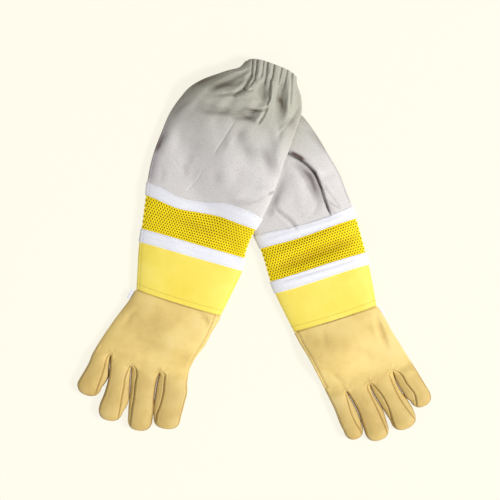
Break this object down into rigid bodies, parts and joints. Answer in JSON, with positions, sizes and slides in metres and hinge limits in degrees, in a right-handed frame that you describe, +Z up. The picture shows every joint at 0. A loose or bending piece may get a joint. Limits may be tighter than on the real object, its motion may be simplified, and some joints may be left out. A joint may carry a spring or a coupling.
{
  "type": "beekeeping gloves",
  "caption": "Pair of long leather beekeeping gloves with vented mesh wrists and elasticated cotton sleeves, laid flat and crossed at the sleeves.",
  "frame": {"origin": "centre of the footprint of the pair, on the surface that the gloves lie on", "axes": "+Y runs from the fingertips towards the hems of the sleeves, +Z up from the surface out of the backs of the hands, +X to the right with the fingers towards the viewer"},
  "size_m": [0.431, 0.4822, 0.0414],
  "materials": {
    "hand_leather": "matt natural goatskin",
    "cuff_leather": "matt yellow split leather",
    "cotton_twill": "matt off-white cotton",
    "vent_mesh": "matt knitted polyester mesh with round holes",
    "vent_lining": "matt fine knitted polyester",
    "woven_tape": "white herringbone webbing",
    "elastic": "woven rubber elastic",
    "tag_fabric": "blank white satin ribbon"
  },
  "bodies": {
    "left_arm": {"left_leather_cuff": "cuff_leather", "left_lower_tape": "woven_tape", "left_vent_face": "vent_mesh", "left_vent_spacer": "vent_mesh", "left_vent_lining": "vent_lining", "left_upper_tape": "woven_tape", "left_cotton_sleeve": "cotton_twill", "left_hem_casing": "cotton_twill", "left_hem_elastic": "elastic"},
    "left_hand": {"left_hand_back": "hand_leather", "left_hand_palm": "hand_leather", "left_side_tag": "tag_fabric"},
    "left_thumb": {"left_thumb_back": "hand_leather", "left_thumb_palm": "hand_leather"},
    "left_index_finger": {"left_index_back": "hand_leather", "left_index_palm": "hand_leather", "left_index_fourchettes": "hand_leather"},
    "left_middle_finger": {"left_middle_back": "hand_leather", "left_middle_palm": "hand_leather", "left_middle_fourchettes": "hand_leather"},
    "left_ring_finger": {"left_ring_back": "hand_leather", "left_ring_palm": "hand_leather", "left_ring_fourchettes": "hand_leather"},
    "left_little_finger": {"left_little_back": "hand_leather", "left_little_palm": "hand_leather", "left_little_fourchettes": "hand_leather"},
    "right_arm": {"right_leather_cuff": "cuff_leather", "right_lower_tape": "woven_tape", "right_vent_face": "vent_mesh", "right_vent_spacer": "vent_mesh", "right_vent_lining": "vent_lining", "right_upper_tape": "woven_tape", "right_cotton_sleeve": "cotton_twill", "right_hem_casing": "cotton_twill", "right_hem_elastic": "elastic"},
    "right_hand": {"right_hand_back": "hand_leather", "right_hand_palm": "hand_leather", "right_side_tag": "tag_fabric"},
    "right_thumb": {"right_thumb_back": "hand_leather", "right_thumb_palm": "hand_leather"},
    "right_index_finger": {"right_index_back": "hand_leather", "right_index_palm": "hand_leather", "right_index_fourchettes": "hand_leather"},
    "right_middle_finger": {"right_middle_back": "hand_leather", "right_middle_palm": "hand_leather", "right_middle_fourchettes": "hand_leather"},
    "right_ring_finger": {"right_ring_back": "hand_leather", "right_ring_palm": "hand_leather", "right_ring_fourchettes": "hand_leather"},
    "right_little_finger": {"right_little_back": "hand_leather", "right_little_palm": "hand_leather", "right_little_fourchettes": "hand_leather"}
  },
  "joints": [
    {"name": "left_wrist_fold", "type": "hinge", "parent": "left_arm", "child": "left_hand", "pos_m": [0.1009, -0.08895, 0.009], "axis": [0.9532, 0.3024, 0], "range_deg": [-20, 60]},
    {"name": "left_thumb_swing", "type": "hinge", "parent": "left_hand", "child": "left_thumb", "pos_m": [0.07384, -0.12271, 0.004], "axis": [0, 0, -1], "range_deg": [0, 130]},
    {"name": "left_index_curl", "type": "hinge", "parent": "left_hand", "child": "left_index_finger", "pos_m": [0.10177, -0.18099, 0.0075], "axis": [0.9348, 0.3551, 0], "range_deg": [0, 75]},
    {"name": "left_middle_curl", "type": "hinge", "parent": "left_hand", "child": "left_middle_finger", "pos_m": [0.13208, -0.17138, 0.0075], "axis": [0.9489, 0.3156, 0], "range_deg": [0, 75]},
    {"name": "left_ring_curl", "type": "hinge", "parent": "left_hand", "child": "left_ring_finger", "pos_m": [0.16106, -0.16219, 0.0075], "axis": [0.9171, 0.3987, 0], "range_deg": [0, 75]},
    {"name": "left_little_curl", "type": "hinge", "parent": "left_hand", "child": "left_little_finger", "pos_m": [0.18718, -0.1539, 0.0075], "axis": [0.8894, 0.4571, 0], "range_deg": [0, 75]},
    {"name": "right_glove_lift", "type": "slide", "parent": "left_arm", "child": "right_arm", "axis": [0, 0, 1], "range_m": [0, 0.15]},
    {"name": "right_wrist_fold", "type": "hinge", "parent": "right_arm", "child": "right_hand", "pos_m": [-0.09595, -0.0683, 0.009], "axis": [0.9548, -0.2974, 0], "range_deg": [-20, 60]},
    {"name": "right_thumb_swing", "type": "hinge", "parent": "right_hand", "child": "right_thumb", "pos_m": [-0.06872, -0.10192, 0.004], "axis": [0, 0, 1], "range_deg": [0, 130]},
    {"name": "right_index_curl", "type": "hinge", "parent": "right_hand", "child": "right_index_finger", "pos_m": [-0.09978, -0.15928, 0.0075], "axis": [0.9888, -0.1495, 0], "range_deg": [0, 75]},
    {"name": "right_middle_curl", "type": "hinge", "parent": "right_hand", "child": "right_middle_finger", "pos_m": [-0.13281, -0.14899, 0.0075], "axis": [0.9925, -0.1219, 0], "range_deg": [0, 75]},
    {"name": "right_ring_curl", "type": "hinge", "parent": "right_hand", "child": "right_ring_finger", "pos_m": [-0.16375, -0.13935, 0.0075], "axis": [0.9863, -0.165, 0], "range_deg": [0, 75]},
    {"name": "right_little_curl", "type": "hinge", "parent": "right_hand", "child": "right_little_finger", "pos_m": [-0.19124, -0.13079, 0.0075], "axis": [0.9494, -0.314, 0], "range_deg": [0, 75]}
  ]
}
